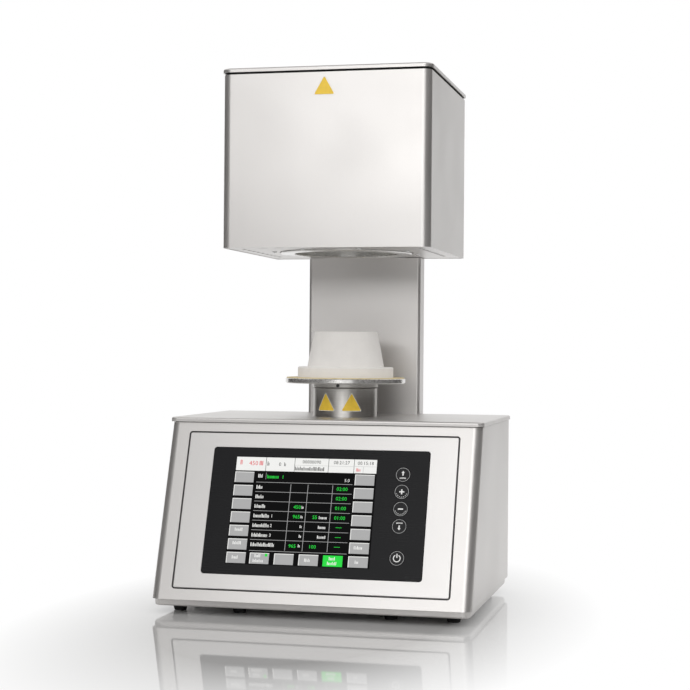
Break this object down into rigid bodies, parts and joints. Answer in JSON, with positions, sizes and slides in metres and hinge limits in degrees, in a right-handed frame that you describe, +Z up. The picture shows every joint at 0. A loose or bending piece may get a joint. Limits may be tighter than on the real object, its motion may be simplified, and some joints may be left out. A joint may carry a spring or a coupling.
{
  "type": "dental lab furnace",
  "caption": "Bench furnace for dental ceramics: wedge cabinet with touch screen and keys, column, square heated head, and a lift table that raises a ceramic plug into the chamber.",
  "frame": {"origin": "on the surface the feet stand on, under the middle of the furnace's box", "axes": "+Z up, +Y from the leaning control panel towards the rear, +X to the right of someone facing the panel"},
  "size_m": [0.384, 0.3268, 0.6478],
  "materials": {
    "housing_silver": "silver-grey metallic coat, satin",
    "panel_silver": "fine satin, rounded bright edges",
    "collar_steel": "turned and brushed round",
    "polished_steel": "polished",
    "ground_steel": "ground",
    "zinc_sheet": "plain zinc-coated sheet",
    "bronze": "machined",
    "bezel_black": "smooth, half gloss",
    "screen_glass": "dark glass over a lit display",
    "key_black": "smooth with a pale printed ring",
    "black_plastic": "moulded, fine grain",
    "grey_plastic": "moulded",
    "board_green": "coated board",
    "rubber_black": "matt",
    "foam_black": "closed-cell foam",
    "gasket_cream": "heat-proof seal, matt",
    "plug_ceramic": "dense white fibre ceramic, matt",
    "fibre_white": "fibre lining, matt",
    "quartz": "milky quartz",
    "bush_white": "slide plastic",
    "hose_silicone": "silicone hose",
    "belt_black": "toothed belt",
    "winding_tape": "yellow winding tape"
  },
  "bodies": {
    "housing": {"feet": "rubber_black", "base_pan": "housing_silver", "fascia": "housing_silver", "control_plate": "panel_silver", "display_bezel": "bezel_black", "touch_screen": "screen_glass", "key_board": "board_green", "display_housing": "black_plastic", "side_panel_left": "housing_silver", "side_panel_right": "housing_silver", "rear_panel": "housing_silver", "base_lid": "housing_silver", "base_lid_seal": "foam_black", "lift_bridge": "zinc_sheet", "lift_top_plate": "zinc_sheet", "guide_rods": "ground_steel", "screw_bearing": "ground_steel", "drive_belt": "belt_black", "lift_motor": "grey_plastic", "collar": "collar_steel", "collar_bush": "bush_white", "column_post": "zinc_sheet", "column_cover": "housing_silver", "column_rear_cover": "housing_silver", "head_floor": "housing_silver", "head_shell": "housing_silver", "head_rear_panel": "housing_silver", "head_lid": "housing_silver", "head_lid_seal": "foam_black", "chamber_flange": "polished_steel", "vacuum_bell": "ground_steel", "chamber_insulation": "fibre_white", "heating_muffle": "quartz", "thermocouple": "fibre_white", "heater_terminals": "ground_steel", "vacuum_hose": "hose_silicone", "vacuum_valve": "bronze", "mains_inlet": "black_plastic", "pump_socket": "black_plastic", "fan_frame": "black_plastic", "control_board": "board_green", "heater_transformer": "winding_tape"},
    "lift_table": {"lift_tube": "collar_steel", "hub_screw": "black_plastic", "sealing_plate": "polished_steel", "plate_gasket": "gasket_cream", "firing_plug": "plug_ceramic", "carriage": "zinc_sheet", "carriage_bushes": "bush_white", "lead_nut": "bronze"},
    "spindle": {"lead_screw": "ground_steel", "screw_pulley": "zinc_sheet"},
    "motor_drive": {"motor_pulley": "zinc_sheet"},
    "rocker": {"mains_rocker": "black_plastic"},
    "fan_wheel": {"fan_rotor": "black_plastic"},
    "key_up_cap": {"key_up": "key_black"},
    "key_plus_cap": {"key_plus": "key_black"},
    "key_minus_cap": {"key_minus": "key_black"},
    "key_down_cap": {"key_down": "key_black"},
    "key_power_cap": {"key_power": "key_black"}
  },
  "joints": [
    {"name": "lift", "type": "slide", "parent": "housing", "child": "lift_table", "axis": [0, 0, 1], "range_m": [0, 0.1537]},
    {"name": "spindle_turn", "type": "hinge", "parent": "housing", "child": "spindle", "pos_m": [0, 0.0211, 0.03], "axis": [0, 0, 1], "range_deg": [-5534.2, 0]},
    {"name": "motor_turn", "type": "hinge", "parent": "housing", "child": "motor_drive", "pos_m": [0.085, 0.0211, 0.03], "axis": [0, 0, 1], "range_deg": [-5534.2, 0]},
    {"name": "mains_switch", "type": "hinge", "parent": "housing", "child": "rocker", "pos_m": [0.148, 0.1439, 0.0845], "axis": [1, 0, 0], "range_deg": [-16, 0]},
    {"name": "fan_spin", "type": "hinge", "parent": "housing", "child": "fan_wheel", "pos_m": [-0.132, 0.1294, 0.12], "axis": [0, 1, 0], "continuous": true},
    {"name": "key_up_press", "type": "slide", "parent": "housing", "child": "key_up_cap", "axis": [0, 0.9428, -0.3335], "range_m": [0, 0.00055], "stiffness_N_per_m": 2500, "springref_m": -0.0006},
    {"name": "key_plus_press", "type": "slide", "parent": "housing", "child": "key_plus_cap", "axis": [0, 0.9428, -0.3335], "range_m": [0, 0.00055], "stiffness_N_per_m": 2500, "springref_m": -0.0006},
    {"name": "key_minus_press", "type": "slide", "parent": "housing", "child": "key_minus_cap", "axis": [0, 0.9428, -0.3335], "range_m": [0, 0.00055], "stiffness_N_per_m": 2500, "springref_m": -0.0006},
    {"name": "key_down_press", "type": "slide", "parent": "housing", "child": "key_down_cap", "axis": [0, 0.9428, -0.3335], "range_m": [0, 0.00055], "stiffness_N_per_m": 2500, "springref_m": -0.0006},
    {"name": "key_power_press", "type": "slide", "parent": "housing", "child": "key_power_cap", "axis": [0, 0.9428, -0.3335], "range_m": [0, 0.00055], "stiffness_N_per_m": 2500, "springref_m": -0.0006}
  ],
  "couplings": [
    {"joint": "spindle_turn", "follows": "lift", "rad_per_m": -628.32},
    {"joint": "motor_turn", "follows": "lift", "rad_per_m": -628.32}
  ]
}
